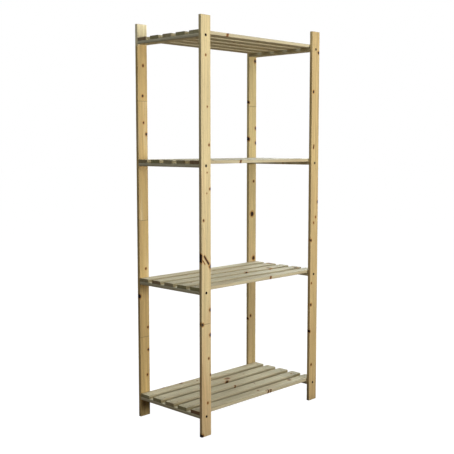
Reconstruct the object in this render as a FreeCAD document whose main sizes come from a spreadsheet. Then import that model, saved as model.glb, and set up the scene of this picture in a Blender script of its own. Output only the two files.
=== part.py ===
"""Free-standing slatted shelving unit of planed pine strip.

Four upright posts carry four shelves. Each shelf is a pair of flat end bearers, held between
the front and back posts by one countersunk screw through each post, with five slats nailed
down on them. Millimetres; the origin is on the floor at the middle of the unit, +X to the
right, +Y to the back, +Z up.
"""
import FreeCAD
import Part
import Sketcher
import os

SHELVES = ["bottom", "lower", "upper", "top"]
SLATS = 5
LEFT = -1
RIGHT = 1
# Degrees; at this angle the head's cone drops as far as its radius shrinks.
HEAD_CONE_ANGLE = 90

# Driving sizes: alias, millimetres, what it measures.
SIZES = [
    ("unit_width", 750, "outer edge of the left posts to outer edge of the right posts"),
    ("lowest_shelf_top", 104, "floor to the top of the lowest shelf"),
    ("shelf_spacing", 513, "top of one shelf to the top of the next"),
    ("post_head", 57, "post standing above the top shelf"),
    ("post_width", 53, "post, across its front face"),
    ("post_thickness", 14, "post, front to back"),
    ("bearer_width", 53, "bearer, across its top face"),
    ("bearer_thickness", 14, "bearer, top to bottom"),
    ("slat_width", 53, "slat, across its top face"),
    ("slat_thickness", 14, "slat, top to bottom"),
    ("slat_gap", 26, "open gap between one slat and the next"),
    ("slat_post_clearance", 1.5, "outermost slat to the post beside it"),
    ("shelf_end_inset", 1, "shelf end set in from the outer edge of the posts"),
    ("eased_edge", 1, "round on the long edges of every board"),
    ("screw_head_diameter", 8, "screw head, across its flat face"),
    ("screw_head_rim", 0.2, "straight rim of the head above its cone"),
    ("screw_head_sink", 0.2, "head face below the post face"),
    ("screw_shank_diameter", 2.8, "smooth shank and core of the thread"),
    ("screw_thread_diameter", 4, "crests of the thread"),
    ("screw_thread_pitch", 1.8, "one crest to the next"),
    ("screw_thread_length", 30, "threaded part behind the tip cone"),
    ("screw_tip_length", 4, "tip cone"),
    ("screw_bite", 36, "screw standing in the end of the bearer"),
    ("screw_seat_clearance", 0.05, "head cone to its countersink, along the screw"),
    ("screw_shank_clearance", 0.5, "hole in the post, wider than the thread"),
    ("screw_pilot_clearance", 0.1, "hole in the bearer, wider than the thread and past the tip"),
    ("recess_span", 4.4, "cross recess, tip of one wing to tip of the opposite one"),
    ("recess_width", 1.1, "cross recess, across one wing"),
    ("recess_depth", 1.6, "cross recess, below the head face"),
    ("nail_diameter", 2, "nail shank"),
    ("nail_head_diameter", 4.5, "nail head, across"),
    ("nail_head_thickness", 0.8, "nail head, top to bottom"),
    ("nail_head_sink", 0.2, "nail head below the slat face"),
    ("nail_point_length", 3, "nail point"),
    ("nail_tip_cover", 3, "wood left under the nail point"),
    ("nail_clearance", 0.1, "nail hole, wider than the nail and past its point"),
    ("nail_edge_distance", 13, "nail to the long edge of its slat"),
    ("nail_screw_cover", 4, "wood between a nail and the screw that runs past it"),
]

# Derived sizes, worked out from the driving ones wherever they are used.
POST_LENGTH = f"(Sizes.lowest_shelf_top + {len(SHELVES) - 1} * Sizes.shelf_spacing + Sizes.post_head)"
SLAT_PITCH = "(Sizes.slat_width + Sizes.slat_gap)"
BEARER_LENGTH = f"({SLATS - 1} * {SLAT_PITCH} + Sizes.slat_width + 2 * Sizes.slat_post_clearance)"
SLAT_LENGTH = "(Sizes.unit_width - 2 * Sizes.shelf_end_inset)"
HALF_DEPTH = f"({BEARER_LENGTH} / 2 + Sizes.post_thickness)"
POST_X = "(Sizes.unit_width / 2 - Sizes.post_width / 2)"
BEARER_X = "(Sizes.unit_width / 2 - Sizes.shelf_end_inset - Sizes.bearer_width / 2)"
SCREW_X = f"max({POST_X}; {BEARER_X})"
BEARER_AXIS_DROP = "(Sizes.slat_thickness + Sizes.bearer_thickness / 2)"
FIRST_SLAT_Y = f"(-{SLATS - 1} / 2 * {SLAT_PITCH})"
NAIL_ACROSS = "(Sizes.slat_width / 2 - Sizes.nail_edge_distance)"
NAIL_ASIDE = "(Sizes.screw_thread_diameter / 2 + Sizes.nail_screw_cover + Sizes.nail_diameter / 2)"
NAIL_BITE = "(Sizes.bearer_thickness - Sizes.nail_tip_cover)"

# How a board lies: its width, its show face inwards and its length, as directions of the unit.
ALONG_SLAT = FreeCAD.Rotation(
    FreeCAD.Vector(0, -1, 0), FreeCAD.Vector(0, 0, -1), FreeCAD.Vector(1, 0, 0), "ZXY")
ALONG_BEARER = FreeCAD.Rotation(
    FreeCAD.Vector(1, 0, 0), FreeCAD.Vector(0, 0, -1), FreeCAD.Vector(0, 1, 0), "ZXY")
FACING_FRONT = FreeCAD.Rotation(FreeCAD.Vector(0, 0, 1), 0)
FACING_BACK = FreeCAD.Rotation(FreeCAD.Vector(0, 0, 1), 180)


def shelf_top(level):
    """Height of a shelf's top face above the floor, as an expression."""
    return f"(Sizes.lowest_shelf_top + {level} * Sizes.shelf_spacing)"


def fill_size_sheet(doc):
    """The sheet of driving sizes, one row each: what it measures, its value and its alias."""
    sheet = doc.addObject("Spreadsheet::Sheet", "Sizes")
    for row, (alias, value, meaning) in enumerate(SIZES, 1):
        sheet.set(f"A{row}", meaning)
        sheet.set(f"B{row}", str(value))
        sheet.setAlias(f"B{row}", alias)
    doc.recompute()


def new_body(doc, label):
    """An empty body, whose label names the piece."""
    body = doc.addObject("PartDesign::Body", label)
    body.Label = label
    return body


def origin_feature(body, role):
    """One of the body's own origin planes or axes."""
    return next(feature for feature in body.Origin.OriginFeatures if feature.Role == role)


def new_sketch(body, name, plane):
    """An empty sketch on one of the body's origin planes."""
    sketch = body.newObject("Sketcher::SketchObject", name)
    sketch.AttachmentSupport = [(origin_feature(body, plane), "")]
    sketch.MapMode = "FlatFace"
    return sketch


def set_size(sketch, constraint, expression):
    """Adds a dimension to a sketch and ties it to the sheet."""
    index = sketch.addConstraint(constraint)
    sketch.setExpression(f"Constraints[{index}]", expression)


def draw_outline(sketch, points):
    """A closed outline of straight lines, each corner dimensioned from the sketch's origin."""
    count = len(points)
    for index in range(count):
        start = FreeCAD.Vector(index, index * index, 0)
        end = FreeCAD.Vector((index + 1) % count, ((index + 1) % count) ** 2, 0)
        sketch.addGeometry(Part.LineSegment(start, end), False)
    for index in range(count):
        sketch.addConstraint(Sketcher.Constraint("Coincident", index, 2, (index + 1) % count, 1))
    for index, (across, along) in enumerate(points):
        set_size(sketch, Sketcher.Constraint("DistanceX", -1, 1, index, 1, 1), across)
        set_size(sketch, Sketcher.Constraint("DistanceY", -1, 1, index, 1, 1), along)


def draw_hole_centres(sketch, diameter, centres):
    """One circle for each hole, its centre dimensioned from the sketch's origin."""
    for across, along in centres:
        outline = Part.Circle(FreeCAD.Vector(1, 1, 0), FreeCAD.Vector(0, 0, 1), 1)
        circle = sketch.addGeometry(outline, False)
        set_size(sketch, Sketcher.Constraint("DistanceX", -1, 1, circle, 3, 1), across)
        set_size(sketch, Sketcher.Constraint("DistanceY", -1, 1, circle, 3, 1), along)
        set_size(sketch, Sketcher.Constraint("Diameter", circle, 2), diameter)


def drill(body, sketch, name, diameter, depth=None):
    """Holes at the sketch's circles, right through the board or flat-bottomed at a depth."""
    body.Document.recompute()
    hole = body.newObject("PartDesign::Hole", name)
    hole.Profile = sketch
    body.Document.recompute()
    hole.setExpression("Diameter", diameter)
    if depth is None:
        hole.DepthType = "ThroughAll"
    else:
        hole.DepthType = "Dimension"
        hole.DrillPoint = "Flat"
        hole.setExpression("Depth", depth)
    return hole


def repeat_other_end(body, feature):
    """The same cut at the board's other end."""
    other_end = body.newObject("PartDesign::Mirrored", "OtherEnd")
    other_end.Originals = [feature]
    other_end.MirrorPlane = (origin_feature(body, "XY_Plane"), [""])
    body.Tip = other_end


def check_cut(body, feature):
    """Stops the build if a cut took nothing away."""
    body.Document.recompute()
    if body.Shape.Volume >= feature.BaseFeature.Shape.Volume:
        raise RuntimeError(f"{body.Label}: {feature.Name} cuts nothing")


def board(doc, label, width, thickness, length):
    """A length of planed strip with eased long edges.

    Its width is centred on X, its show face is at Y = 0 with the wood behind it, and its
    length is centred on Z.
    """
    body = new_body(doc, label)
    section = new_sketch(body, "Section", "XY_Plane")
    draw_outline(section, [
        (f"-{width} / 2", "0"),
        (f"{width} / 2", "0"),
        (f"{width} / 2", thickness),
        (f"-{width} / 2", thickness),
    ])
    strip = body.newObject("PartDesign::Pad", "Strip")
    strip.Profile = section
    strip.SideType = "Symmetric"
    strip.setExpression("Length", length)
    doc.recompute()
    eased = body.newObject("PartDesign::Fillet", "EasedEdges")
    along_strip = FreeCAD.Vector(0, 0, 1)
    long_edges = [
        f"Edge{number}" for number, edge in enumerate(strip.Shape.Edges, 1)
        if edge.tangentAt(edge.FirstParameter).cross(along_strip).Length < edge.Tolerance
    ]
    eased.Base = (strip, long_edges)
    eased.setExpression("Radius", "Sizes.eased_edge")
    doc.recompute()
    return body


def lay(piece, turn, x="0", y="0", z="0"):
    """Turns a piece and ties its place in the unit to the sheet."""
    piece.Placement = FreeCAD.Placement(FreeCAD.Vector(), turn)
    piece.setExpression("Placement.Base.x", x)
    piece.setExpression("Placement.Base.y", y)
    piece.setExpression("Placement.Base.z", z)


def post(doc, label, side, facing):
    """Upright with one countersunk hole for each shelf, on the bearers' centre line."""
    body = board(doc, label, "Sizes.post_width", "Sizes.post_thickness", POST_LENGTH)
    front = facing is FACING_FRONT
    outward = side if front else -side
    hole_x = f"{outward} * ({SCREW_X} - {POST_X})"
    axis_drop = f"{BEARER_AXIS_DROP} + {POST_LENGTH} / 2"
    levels = [f"{shelf_top(level)} - ({axis_drop})" for level in range(len(SHELVES))]
    diameter = "Sizes.screw_thread_diameter + Sizes.screw_shank_clearance"
    centres = new_sketch(body, "ScrewCentres", "XZ_Plane")
    draw_hole_centres(centres, diameter, [(hole_x, level) for level in levels])
    holes = drill(body, centres, "ScrewHoles", diameter)
    cone_drop = "(Sizes.screw_head_sink + Sizes.screw_head_rim + Sizes.screw_seat_clearance)"
    holes.HoleCutType = "Countersink"
    holes.HoleCutCountersinkAngle = HEAD_CONE_ANGLE
    holes.setExpression("HoleCutDiameter", f"Sizes.screw_head_diameter + 2 * {cone_drop}")
    check_cut(body, holes)
    face_y = f"-{HALF_DEPTH}" if front else HALF_DEPTH
    lay(body, facing, f"{side} * {POST_X}", face_y, f"{POST_LENGTH} / 2")
    return body


def bearer(doc, label, side, level):
    """Flat cross-piece between a front and a back post, pilot-drilled for its screws and nails."""
    body = board(doc, label, "Sizes.bearer_width", "Sizes.bearer_thickness", BEARER_LENGTH)
    pilot = "Sizes.screw_thread_diameter + Sizes.screw_pilot_clearance"
    end_centre = new_sketch(body, "EndCentre", "XY_Plane")
    end_centre.setExpression("AttachmentOffset.Base.z", f"{BEARER_LENGTH} / 2")
    screw_aside = f"{side} * ({SCREW_X} - {BEARER_X})"
    draw_hole_centres(end_centre, pilot, [(screw_aside, "Sizes.bearer_thickness / 2")])
    pilot_depth = "Sizes.screw_bite + Sizes.screw_pilot_clearance"
    end_hole = drill(body, end_centre, "ScrewPilot", pilot, pilot_depth)
    check_cut(body, end_hole)
    repeat_other_end(body, end_hole)

    nail_hole = "Sizes.nail_diameter + Sizes.nail_clearance"
    nail_centres = new_sketch(body, "NailCentres", "XZ_Plane")
    draw_hole_centres(nail_centres, nail_hole, [
        (f"{screw_aside} + {side} * {NAIL_ASIDE}", f"{FIRST_SLAT_Y} + {NAIL_ACROSS}"),
        (f"{screw_aside} - {side} * {NAIL_ASIDE}", f"{FIRST_SLAT_Y} - {NAIL_ACROSS}"),
    ])
    nail_pilots = drill(body, nail_centres, "NailPilots", nail_hole, f"{NAIL_BITE} + Sizes.nail_clearance")
    check_cut(body, nail_pilots)
    every_slat = body.newObject("PartDesign::LinearPattern", "EverySlat")
    every_slat.Originals = [nail_pilots]
    every_slat.Direction = (origin_feature(body, "Z_Axis"), [""])
    every_slat.setExpression("Length", f"{SLATS - 1} * {SLAT_PITCH}")
    every_slat.Occurrences = SLATS
    body.Tip = every_slat
    lay(body, ALONG_BEARER, x=f"{side} * {BEARER_X}", z=f"{shelf_top(level)} - Sizes.slat_thickness")
    return body


def slat(doc, label, number, level):
    """Shelf board with two nail holes at each end, sunk for the nail heads."""
    body = board(doc, label, "Sizes.slat_width", "Sizes.slat_thickness", SLAT_LENGTH)
    diameter = "Sizes.nail_diameter + Sizes.nail_clearance"
    centres = new_sketch(body, "NailCentres", "XZ_Plane")
    draw_hole_centres(centres, diameter, [
        (f"-{NAIL_ACROSS}", f"{SCREW_X} + {NAIL_ASIDE}"),
        (NAIL_ACROSS, f"{SCREW_X} - {NAIL_ASIDE}"),
    ])
    holes = drill(body, centres, "NailHoles", diameter)
    holes.HoleCutType = "Counterbore"
    holes.setExpression("HoleCutDiameter", "Sizes.nail_head_diameter + Sizes.nail_clearance")
    holes.setExpression("HoleCutDepth", "Sizes.nail_head_thickness + Sizes.nail_head_sink")
    check_cut(body, holes)
    repeat_other_end(body, holes)
    lay(body, ALONG_SLAT, y=f"{FIRST_SLAT_Y} + {number} * {SLAT_PITCH}", z=shelf_top(level))
    return body


def revolve(body, sketch, name):
    """Turns a half profile about the upright axis of its sketch."""
    turned = body.newObject("PartDesign::Revolution", name)
    turned.Profile = sketch
    turned.ReferenceAxis = (sketch, ["V_Axis"])
    turned.Angle = 360
    body.Document.recompute()
    return turned


def repeat_whole(body, name, kind):
    """Repeats all that is modelled so far as separate solids; the caller sets where."""
    copies = body.newObject(f"PartDesign::{kind}", name)
    copies.TransformMode = "Whole shape"
    body.Tip = copies
    return copies


def post_screws(doc, label, level):
    """The four countersunk screws of one shelf, each through a post into the end of a bearer."""
    body = new_body(doc, label)
    head_radius = "(Sizes.screw_head_diameter / 2)"
    shank_radius = "(Sizes.screw_shank_diameter / 2)"
    face = "Sizes.screw_head_sink"
    rim = f"{face} + Sizes.screw_head_rim"
    tip = "Sizes.post_thickness + Sizes.screw_bite"
    thread_end = f"{tip} - Sizes.screw_tip_length"
    profile = new_sketch(body, "ScrewProfile", "XY_Plane")
    profile.setExpression("AttachmentOffset.Base.x", f"-{SCREW_X}")
    profile.setExpression("AttachmentOffset.Base.y", f"-{HALF_DEPTH}")
    draw_outline(profile, [
        ("0", face),
        (head_radius, face),
        (head_radius, rim),
        (shank_radius, f"{rim} + {head_radius} - {shank_radius}"),
        (shank_radius, thread_end),
        ("0", tip),
    ])
    revolve(body, profile, "Screw")

    crest_profile = new_sketch(body, "CrestProfile", "XY_Plane")
    crest_profile.setExpression("AttachmentOffset.Base.x", f"-{SCREW_X}")
    crest_profile.setExpression("AttachmentOffset.Base.y", f"-{HALF_DEPTH}")
    first_crest = f"{thread_end} - Sizes.screw_thread_length"
    draw_outline(crest_profile, [
        (f"{shank_radius} / 2", first_crest),
        ("Sizes.screw_thread_diameter / 2", f"{first_crest} + Sizes.screw_thread_pitch / 2"),
        (f"{shank_radius} / 2", f"{first_crest} + Sizes.screw_thread_pitch"),
    ])
    crest = revolve(body, crest_profile, "Crest")
    thread = body.newObject("PartDesign::LinearPattern", "Thread")
    thread.Originals = [crest]
    thread.Direction = (origin_feature(body, "Y_Axis"), [""])
    thread.Mode = "Spacing"
    thread.setExpression("Offset", "Sizes.screw_thread_pitch")
    thread.setExpression("Occurrences", "floor(Sizes.screw_thread_length / Sizes.screw_thread_pitch)")
    body.Tip = thread
    doc.recompute()

    cross = new_sketch(body, "CrossOutline", "XZ_Plane")
    cross.setExpression("AttachmentOffset.Base.x", f"-{SCREW_X}")
    cross.setExpression("AttachmentOffset.Base.z", f"{HALF_DEPTH} - {face}")
    reach = "Sizes.recess_span / 2"
    wing = "Sizes.recess_width / 2"
    draw_outline(cross, [
        (wing, wing), (reach, wing), (reach, f"-{wing}"), (wing, f"-{wing}"),
        (wing, f"-{reach}"), (f"-{wing}", f"-{reach}"), (f"-{wing}", f"-{wing}"), (f"-{reach}", f"-{wing}"),
        (f"-{reach}", wing), (f"-{wing}", wing), (f"-{wing}", reach), (wing, reach),
    ])
    recess = body.newObject("PartDesign::Pocket", "CrossRecess")
    recess.Profile = cross
    recess.setExpression("Length", "Sizes.recess_depth")
    check_cut(body, recess)

    other_side = repeat_whole(body, "OtherSide", "LinearPattern")
    other_side.Direction = (origin_feature(body, "X_Axis"), [""])
    other_side.setExpression("Length", f"2 * {SCREW_X}")
    other_side.Occurrences = 2
    doc.recompute()
    back_posts = repeat_whole(body, "BackPosts", "PolarPattern")
    back_posts.Axis = (origin_feature(body, "Z_Axis"), [""])
    back_posts.Angle = 360
    back_posts.Occurrences = 2
    lay(body, FACING_FRONT, z=f"{shelf_top(level)} - {BEARER_AXIS_DROP}")
    return body


def slat_nails(doc, label, level):
    """The nails of one shelf: two at each end of every slat, staggered across the bearer."""
    body = new_body(doc, label)
    head_radius = "Sizes.nail_head_diameter / 2"
    shank_radius = "Sizes.nail_diameter / 2"
    head_top = "-Sizes.nail_head_sink"
    head_under = f"{head_top} - Sizes.nail_head_thickness"
    tip = f"-Sizes.slat_thickness - {NAIL_BITE}"
    for name, toward_end, toward_back in (("BackNail", 1, 1), ("FrontNail", -1, -1)):
        profile = new_sketch(body, f"{name}Profile", "XZ_Plane")
        nail_x = f"-({SCREW_X} + {toward_end} * {NAIL_ASIDE})"
        nail_y = f"({FIRST_SLAT_Y} + {toward_back} * {NAIL_ACROSS})"
        profile.setExpression("AttachmentOffset.Base.x", nail_x)
        profile.setExpression("AttachmentOffset.Base.z", f"-{nail_y}")
        draw_outline(profile, [
            ("0", head_top),
            (head_radius, head_top),
            (head_radius, head_under),
            (shank_radius, head_under),
            (shank_radius, f"{tip} + Sizes.nail_point_length"),
            ("0", tip),
        ])
        revolve(body, profile, name)
    other_end = repeat_whole(body, "OtherEnd", "Mirrored")
    other_end.MirrorPlane = (origin_feature(body, "YZ_Plane"), [""])
    doc.recompute()
    every_slat = repeat_whole(body, "EverySlat", "LinearPattern")
    every_slat.Direction = (origin_feature(body, "Y_Axis"), [""])
    every_slat.setExpression("Length", f"{SLATS - 1} * {SLAT_PITCH}")
    every_slat.Occurrences = SLATS
    lay(body, FACING_FRONT, z=shelf_top(level))
    return body


def build_unit(doc):
    """Every piece of the unit, from the posts to the nails."""
    pieces = [
        post(doc, "front_left_post", LEFT, FACING_FRONT),
        post(doc, "front_right_post", RIGHT, FACING_FRONT),
        post(doc, "back_left_post", LEFT, FACING_BACK),
        post(doc, "back_right_post", RIGHT, FACING_BACK),
    ]
    for level, shelf in enumerate(SHELVES):
        pieces.append(bearer(doc, f"{shelf}_shelf_left_bearer", LEFT, level))
        pieces.append(bearer(doc, f"{shelf}_shelf_right_bearer", RIGHT, level))
        for number in range(SLATS):
            pieces.append(slat(doc, f"{shelf}_shelf_slat_{number + 1}", number, level))
        pieces.append(post_screws(doc, f"{shelf}_shelf_post_screws", level))
        pieces.append(slat_nails(doc, f"{shelf}_shelf_slat_nails", level))
    doc.recompute()
    return pieces


def check_pieces(doc, pieces):
    """Stops the build if any feature failed or any piece has no sound shape."""
    for feature in doc.Objects:
        if "Invalid" in feature.State or "Error" in feature.State:
            raise RuntimeError(f"{feature.Label} failed: {feature.State}")
    for piece in pieces:
        if piece.Shape.isNull() or not piece.Shape.isValid():
            raise RuntimeError(f"{piece.Label} has no valid shape")


def write_pieces(pieces):
    """One file for each piece, named by its label."""
    os.makedirs("parts", exist_ok=True)
    for piece in pieces:
        piece.Shape.exportStep(f"parts/{piece.Label}.step")
        print(piece.Label, len(piece.Shape.Solids), "solids", round(piece.Shape.Volume), "mm3")


document = FreeCAD.newDocument("slatted_shelving_unit")
fill_size_sheet(document)
unit_pieces = build_unit(document)
check_pieces(document, unit_pieces)
write_pieces(unit_pieces)
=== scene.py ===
import math
import random

import bmesh
import bpy
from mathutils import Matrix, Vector


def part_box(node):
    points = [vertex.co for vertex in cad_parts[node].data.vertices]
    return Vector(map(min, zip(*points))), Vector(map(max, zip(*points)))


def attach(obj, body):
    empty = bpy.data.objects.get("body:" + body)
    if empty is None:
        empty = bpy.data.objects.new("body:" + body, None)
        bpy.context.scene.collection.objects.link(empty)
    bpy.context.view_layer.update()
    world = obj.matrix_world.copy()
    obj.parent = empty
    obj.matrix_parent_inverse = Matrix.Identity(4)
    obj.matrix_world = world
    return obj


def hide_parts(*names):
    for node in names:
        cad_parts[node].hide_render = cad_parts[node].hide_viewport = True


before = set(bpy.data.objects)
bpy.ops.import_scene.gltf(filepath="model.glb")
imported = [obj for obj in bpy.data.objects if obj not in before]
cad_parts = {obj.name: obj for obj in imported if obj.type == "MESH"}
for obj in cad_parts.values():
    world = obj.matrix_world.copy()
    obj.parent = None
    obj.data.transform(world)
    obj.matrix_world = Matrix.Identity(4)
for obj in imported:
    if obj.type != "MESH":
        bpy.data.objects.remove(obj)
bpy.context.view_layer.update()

# View
# The photograph looks at the unit's front left corner from a little over the upper shelf's height,
# with a short telephoto lens and the camera tipped slightly down.
FRAME_PIXELS = 454
FOCAL_PIXELS = 833.7
EYE = (-2.6789, -2.5778, 1.1907)
TURN = math.radians(45.86)
DIP = math.radians(5.6)
FAR_CLIP = 200

bpy.ops.object.select_all(action="DESELECT")
bpy.ops.object.camera_add(location=EYE, rotation=(math.pi / 2 - DIP, 0, -TURN))
camera = bpy.context.object
camera.name = "photo_view"
camera.data.lens = FOCAL_PIXELS / FRAME_PIXELS * camera.data.sensor_width
camera.data.clip_end = FAR_CLIP
bpy.context.scene.camera = camera

# Posts
# Four uprights of planed pine strip, 53 by 14 mm, three of them glued up from finger-jointed lengths.
# The long edges are eased and the ends sawn square, and at each shelf a screw is countersunk through
# the broad face.
SHELVES = ("bottom", "lower", "upper", "top")
MM = 0.001
EASED_EDGE = 1.1 * MM
EASED_STEPS = 3
BAY = 6 * MM
CUTS_ACROSS = 5
CUTS_THROUGH = 1

# An edge runs along an axis when nearly all of its length does.
STRAIGHT = 0.99

# How strongly an arris can be bruised: most on the round itself, least where the flat faces begin.
ARRIS_MOST = 1.2
ARRIS_LEAST = 0.25
ARRIS_REACH = 1.05 * EASED_EDGE


def select_edges(board, wanted):
    """Selects, in edit mode, the edges whose two ends pass a test."""
    shape = bmesh.from_edit_mesh(board.data)
    for edge in shape.edges:
        edge.select_set(wanted(edge.verts[0].co, edge.verts[1].co))
    shape.select_flush_mode()
    bmesh.update_edit_mesh(board.data)


def planed_strip(node):
    """A strip at its node's place, eased along its long edges and divided into short bays."""
    low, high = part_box(node)
    size = high - low
    middle = (low + high) / 2
    through, across, along = sorted(range(3), key=lambda axis: size[axis])
    bpy.ops.object.select_all(action="DESELECT")
    bpy.ops.mesh.primitive_cube_add(size=1, location=middle)
    strip = bpy.context.object
    bpy.ops.transform.resize(value=size)
    bpy.ops.object.transform_apply(location=True, rotation=False, scale=True)
    bpy.ops.object.mode_set(mode="EDIT")
    bpy.ops.mesh.select_mode(type="EDGE")

    def runs(axis):
        return lambda a, b: abs(b[axis] - a[axis]) > STRAIGHT * (b - a).length

    select_edges(strip, runs(along))
    bpy.ops.mesh.bevel(offset=EASED_EDGE, segments=EASED_STEPS, profile=0.5, affect="EDGES")
    select_edges(strip, runs(across))
    bpy.ops.mesh.subdivide(number_cuts=CUTS_ACROSS)
    select_edges(strip, runs(through))
    bpy.ops.mesh.subdivide(number_cuts=CUTS_THROUGH)

    # The same cuts are made twice over, so each pass makes the square root of the number of bays.
    cuts = round(math.sqrt(size[along] / BAY)) - 1
    for turn in range(2):
        select_edges(strip, runs(along))
        bpy.ops.mesh.subdivide(number_cuts=cuts)
    bpy.ops.object.mode_set(mode="OBJECT")

    arris = strip.vertex_groups.new(name="arris")
    for vertex in strip.data.vertices:
        inset = [size[axis] / 2 - abs(vertex.co[axis] - middle[axis]) for axis in (across, through)]
        depth = sum(inset) / EASED_EDGE
        if max(inset) < ARRIS_REACH:
            arris.add([vertex.index], max(ARRIS_LEAST, ARRIS_MOST - depth), "REPLACE")
    return strip


def copy_strip(strip, from_node, node):
    """A copy of a strip with a mesh of its own, moved to another node's place."""
    bpy.ops.object.select_all(action="DESELECT")
    strip.select_set(True)
    bpy.context.view_layer.objects.active = strip
    bpy.ops.object.duplicate(linked=False)
    board = bpy.context.object
    bpy.ops.transform.translate(value=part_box(node)[0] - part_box(from_node)[0])
    bpy.ops.object.transform_apply(location=True, rotation=False, scale=False)
    board.name = "pine_" + node
    board.data.name = board.name
    return board


# The planer leaves a faint ripple, and handling bruises the arrises a little. Each level is the part of
# the depth that lies below the planed face.
PLANING_DEPTH = 0.35 * MM
PLANING_LEVEL = 0.5
BRUISE_DEPTH = 1.1 * MM
BRUISE_LEVEL = 0.7
planing = bpy.data.textures.new("planing ripple", "CLOUDS")
planing.noise_scale = 55 * MM
bruising = bpy.data.textures.new("bruised arris", "CLOUDS")
bruising.noise_scale = 11 * MM
bruising.noise_depth = 3


def weather(board):
    """Gives a board its own ripple and bruises."""
    bpy.context.view_layer.objects.active = board
    for texture, depth, level, group in ((planing, PLANING_DEPTH, PLANING_LEVEL, ""),
                                         (bruising, BRUISE_DEPTH, BRUISE_LEVEL, "arris")):
        wear = board.modifiers.new(texture.name, "DISPLACE")
        wear.texture = texture
        wear.texture_coords = "LOCAL"
        wear.strength = depth
        wear.mid_level = level
        wear.vertex_group = group
        bpy.ops.object.modifier_apply(modifier=wear.name)


BIT_SIDES = 24


def bit(rings, place, turn):
    """The shape that a drill leaves: rings of (depth, radius), each deeper than the last, set in place."""
    bpy.ops.object.select_all(action="DESELECT")
    bpy.ops.mesh.primitive_circle_add(vertices=BIT_SIDES, radius=rings[0][1], fill_type="NGON")
    made = bpy.context.object
    bpy.ops.object.mode_set(mode="EDIT")
    bpy.ops.transform.translate(value=(0, 0, -rings[0][0]))
    for (depth, radius), (deeper, next_radius) in zip(rings, rings[1:]):
        bpy.ops.mesh.extrude_region_move(TRANSFORM_OT_translate={"value": (0, 0, depth - deeper)})
        bpy.ops.transform.resize(value=(next_radius / radius, next_radius / radius, 1))
    bpy.ops.mesh.select_all(action="SELECT")
    bpy.ops.mesh.normals_make_consistent(inside=False)
    bpy.ops.object.mode_set(mode="OBJECT")
    made.rotation_euler = turn
    made.location = place
    return made


def bits_together(parts):
    """Joins drill shapes into one, so that a board is drilled in one cut."""
    bpy.ops.object.select_all(action="DESELECT")
    for part in parts:
        part.select_set(True)
    bpy.context.view_layer.objects.active = parts[0]
    bpy.ops.object.join()
    bpy.ops.object.transform_apply(location=True, rotation=True, scale=True)
    return bpy.context.object


def drill(board, bits):
    """Cuts the drill shapes out of a board."""
    bore = board.modifiers.new("bore", "BOOLEAN")
    bore.operation = "DIFFERENCE"
    bore.solver = "EXACT"
    bore.object = bits
    bpy.context.view_layer.objects.active = board
    bpy.ops.object.modifier_apply(modifier=bore.name)


SMOOTH_ANGLE = math.radians(32)


def finish_board(board, node, timber):
    """Smooths a board's arrises, dresses it and puts it in its node's place on the unit."""
    bpy.ops.object.select_all(action="DESELECT")
    board.select_set(True)
    bpy.context.view_layer.objects.active = board
    bpy.ops.object.shade_smooth_by_angle(angle=SMOOTH_ANGLE)
    board.data.materials.clear()
    board.data.materials.append(timber)
    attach(board, "root")
    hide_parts(node)


def linear(code):
    """An sRGB hex colour as linear red, green, blue and alpha."""
    parts = [int(code[place:place + 2], 16) / 255 for place in (0, 2, 4)]
    return [part / 12.92 if part <= 0.04045 else ((part + 0.055) / 1.055) ** 2.4 for part in parts] + [1]


def add(tree, kind, feeds, **settings):
    """Adds a node with its settings, and feeds its sockets from other nodes or with plain values."""
    node = tree.nodes.new(kind)
    for setting, value in settings.items():
        setattr(node, setting, value)
    for socket, value in feeds.items():
        if isinstance(value, bpy.types.NodeSocket):
            tree.links.new(value, node.inputs[socket])
        else:
            node.inputs[socket].default_value = value
    return node.outputs


def new_group(name, takes, gives):
    """An empty node group with its sockets: V for a vector, F for a number, C for a colour."""
    kinds = {"V": "NodeSocketVector", "F": "NodeSocketFloat", "C": "NodeSocketColor"}
    tree = bpy.data.node_groups.new(name, "ShaderNodeTree")
    for kind, socket in takes:
        tree.interface.new_socket(socket, in_out="INPUT", socket_type=kinds[kind])
    for kind, socket in gives:
        tree.interface.new_socket(socket, in_out="OUTPUT", socket_type=kinds[kind])
    return tree


# A knot is the stub of a branch that leans through the board. The grain parts and flows round it, as
# water round a stone, so the group moves the timber lines aside as well as saying how near the knot is.
GRAIN_STRETCH = 0.42
CORE_STRETCH = 0.85
BRANCH_LEAN = -0.3
LUMPS_PER_MM = 0.22
LUMPINESS = 0.6
knot_group = new_group("Knot", (("V", "Timber"), ("F", "Nearness"), ("F", "Darkness"),
                                ("V", "Place"), ("V", "Spike"), ("F", "Radius"), ("F", "Age")),
                       (("V", "Timber"), ("F", "Nearness"), ("F", "Darkness")))
given = add(knot_group, "NodeGroupInput", {})
away = add(knot_group, "ShaderNodeVectorMath", {0: given["Timber"], 1: given["Place"]},
           operation="SUBTRACT")[0]
on_spike = add(knot_group, "ShaderNodeVectorMath", {0: away, 1: given["Spike"]},
               operation="DOT_PRODUCT")["Value"]
spike_size = add(knot_group, "ShaderNodeVectorMath", {0: given["Spike"], 1: given["Spike"]},
                 operation="DOT_PRODUCT")["Value"]
spike_share = add(knot_group, "ShaderNodeMath", {0: on_spike, 1: spike_size}, operation="DIVIDE")[0]
spike_stop = add(knot_group, "ShaderNodeClamp", {"Value": spike_share, "Min": -1})[0]
along_spike = add(knot_group, "ShaderNodeVectorMath", {0: given["Spike"], "Scale": spike_stop},
                  operation="SCALE")[0]
off_spike = add(knot_group, "ShaderNodeVectorMath", {0: away, 1: along_spike}, operation="SUBTRACT")[0]
step = add(knot_group, "ShaderNodeSeparateXYZ", {0: off_spike})
leant = add(knot_group, "ShaderNodeMath", {0: step["Z"], 1: BRANCH_LEAN, 2: step["X"]},
            operation="MULTIPLY_ADD")[0]
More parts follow.
